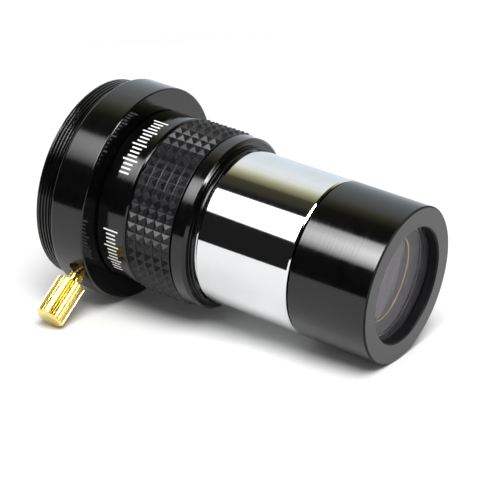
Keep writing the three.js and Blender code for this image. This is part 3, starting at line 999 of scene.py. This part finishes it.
def panel(name, azimuth, elevation, distance, left, right, bottom, top):
    """A glowing panel that faces the part and shows only in polished surfaces. Its sides are metres
    from its centre. Gives back the node tree, the emission node and the places across and up it."""
    piece = make_object(name, [(left, bottom, 0), (right, bottom, 0), (right, top, 0), (left, top, 0)],
                        [(0, 1, 2, 3)], smooth=False)
    piece.location = direction(azimuth, elevation) * distance
    piece.rotation_euler = (-piece.location).to_track_quat("-Z", "Y").to_euler()
    piece.visible_camera = False
    piece.visible_diffuse = False
    made = bpy.data.materials.new(name + "_glow")
    made.use_nodes = True
    tree = made.node_tree
    tree.nodes.clear()
    glow = add_node(tree, "ShaderNodeEmission")
    clear = add_node(tree, "ShaderNodeBsdfTransparent")
    both = add_node(tree, "ShaderNodeAddShader")
    output = add_node(tree, "ShaderNodeOutputMaterial")
    tree.links.new(glow.outputs["Emission"], both.inputs[0])
    tree.links.new(clear.outputs["BSDF"], both.inputs[1])
    tree.links.new(both.outputs["Shader"], output.inputs["Surface"])
    spot = add_node(tree, "ShaderNodeTexCoord")
    split = add_node(tree, "ShaderNodeSeparateXYZ")
    tree.links.new(spot.outputs["Object"], split.inputs["Vector"])
    piece.data.materials.append(made)
    return tree, glow, split.outputs["X"], split.outputs["Y"]


def fade(tree, value, none, full, kind="LINEAR"):
    """0 at one value, 1 at the other, and in between between them."""
    node = add_node(tree, "ShaderNodeMapRange", interpolation_type=kind)
    node.inputs["From Min"].default_value = none
    node.inputs["From Max"].default_value = full
    tree.links.new(value, node.inputs["Value"])
    return node.outputs["Result"]


def softbox():
    """The key light: brighter to its right, with a soft lower edge and a sloping top."""
    strength, growth = 12.6, 1100.0     # at its middle, and as a factor for each metre to the right
    slope = 0.9
    tree, glow, across, up = panel("softbox", azimuth=-125, elevation=46.5, distance=0.8,
                                   left=-0.30, right=0.22, bottom=-0.24, top=0.32)
    level = calculate(tree, "MULTIPLY", calculate(tree, "POWER", growth, across), strength)
    top = calculate(tree, "SUBTRACT", up, calculate(tree, "MULTIPLY", across, slope))
    edges = calculate(tree, "MULTIPLY", fade(tree, up, none=-0.205, full=0.07),
                      fade(tree, top, none=0.345, full=0.25, kind="SMOOTHSTEP"))
    tree.links.new(calculate(tree, "MULTIPLY", level, edges), glow.inputs["Strength"])


def side_light():
    """A smaller panel beyond the nose, which glints on the front chamfers."""
    strength = 32.0
    half_height, full_height = 0.12, 0.04
    tree, glow, across, up = panel("side_light", azimuth=3, elevation=29, distance=0.9,
                                   left=-0.17, right=0.17, bottom=-half_height, top=half_height)
    edges = calculate(tree, "MULTIPLY", fade(tree, up, none=-half_height, full=-full_height),
                      fade(tree, up, none=half_height, full=full_height))
    tree.links.new(calculate(tree, "MULTIPLY", edges, strength), glow.inputs["Strength"])


MATT_LIGHT_DISTANCE = 0.8


def matt_light(name, azimuth, elevation, size, watts):
    """A wide soft light that only matt surfaces see, so that it shades the floor and the rubber."""
    data = bpy.data.lights.new(name, "AREA")
    data.shape = "DISK"
    data.size = size
    data.energy = watts
    light = bpy.data.objects.new(name, data)
    light.location = direction(azimuth, elevation) * MATT_LIGHT_DISTANCE
    light.rotation_euler = (-light.location).to_track_quat("-Z", "Y").to_euler()
    light.visible_camera = False
    light.visible_glossy = False
    bpy.context.collection.objects.link(light)


softbox()
side_light()
matt_light("front_light", azimuth=-50, elevation=58, size=0.5, watts=7.7)
matt_light("back_light", azimuth=115, elevation=62, size=0.6, watts=1.0)


def studio_world():
    """White to the camera, an even dome to matt surfaces, and to polished ones a dark room with a
    white backdrop beyond the part. The ramp goes from beside the part to straight beyond it."""
    backdrop = direction(120, 0)
    world = bpy.data.worlds.new("studio")
    bpy.context.scene.world = world
    world.use_nodes = True
    world.cycles.sampling_method = "NONE"
    tree = world.node_tree
    tree.nodes.clear()
    seen = add_node(tree, "ShaderNodeBackground")
    seen.inputs["Color"].default_value = (1, 1, 1, 1)
    seen.inputs["Strength"].default_value = 1.05
    dome = add_node(tree, "ShaderNodeBackground")
    dome.inputs["Color"].default_value = (0.98, 0.99, 1.0, 1)
    dome.inputs["Strength"].default_value = 0.42
    room = add_node(tree, "ShaderNodeBackground")
    room.inputs["Strength"].default_value = 1.3
    spot = add_node(tree, "ShaderNodeTexCoord")
    along = add_node(tree, "ShaderNodeVectorMath", operation="DOT_PRODUCT")
    along.inputs[1].default_value = backdrop
    shade = add_node(tree, "ShaderNodeValToRGB")
    stops = ((0.0, (0.012, 0.012, 0.012)), (0.10, (0.038, 0.035, 0.025)), (0.25, (0.055, 0.052, 0.03)),
             (0.40, (0.36, 0.35, 0.20)), (0.56, (0.79, 0.80, 0.71)), (0.69, (0.82, 0.86, 0.87)),
             (0.97, (0.69, 0.76, 0.82)))
    elements = shade.color_ramp.elements
    elements[0].position, elements[0].color = stops[0][0], (*stops[0][1], 1)
    elements[1].position, elements[1].color = stops[-1][0], (*stops[-1][1], 1)
    for position, colour in stops[1:-1]:
        element = elements.new(position)
        element.color = (*colour, 1)
    path = add_node(tree, "ShaderNodeLightPath")
    matt = add_node(tree, "ShaderNodeMixShader")
    mix = add_node(tree, "ShaderNodeMixShader")
    output = add_node(tree, "ShaderNodeOutputWorld")
    tree.links.new(spot.outputs["Generated"], along.inputs[0])
    tree.links.new(along.outputs["Value"], shade.inputs["Fac"])
    tree.links.new(shade.outputs["Color"], room.inputs["Color"])
    tree.links.new(path.outputs["Is Camera Ray"], mix.inputs["Fac"])
    tree.links.new(path.outputs["Is Diffuse Ray"], matt.inputs["Fac"])
    tree.links.new(room.outputs["Background"], matt.inputs[1])
    tree.links.new(dome.outputs["Background"], matt.inputs[2])
    tree.links.new(matt.outputs["Shader"], mix.inputs[1])
    tree.links.new(seen.outputs["Background"], mix.inputs[2])
    tree.links.new(mix.outputs["Shader"], output.inputs["Surface"])


studio_world()
bpy.context.scene.view_settings.view_transform = "Standard"

# ------------------------------ camera
CAMERA_FROM_NOSE = (165.94, -304.66, 141.92)    # millimetres
CAMERA_AZIMUTH = 33.837         # degrees from -Y towards +X
CAMERA_ELEVATION = 20.991
SENSOR_WIDTH = 36
FOCAL_LENGTH = 147.8

camera_data = bpy.data.cameras.new("camera")
camera_data.sensor_width = SENSOR_WIDTH
camera_data.lens = FOCAL_LENGTH
camera = bpy.data.objects.new("camera", camera_data)
looking = -direction(CAMERA_AZIMUTH - 90, CAMERA_ELEVATION)
camera.location = Vector(NOSE) + Vector(CAMERA_FROM_NOSE) * MM
camera.rotation_euler = looking.to_track_quat("-Z", "Y").to_euler()
bpy.context.collection.objects.link(camera)
bpy.context.scene.camera = camera
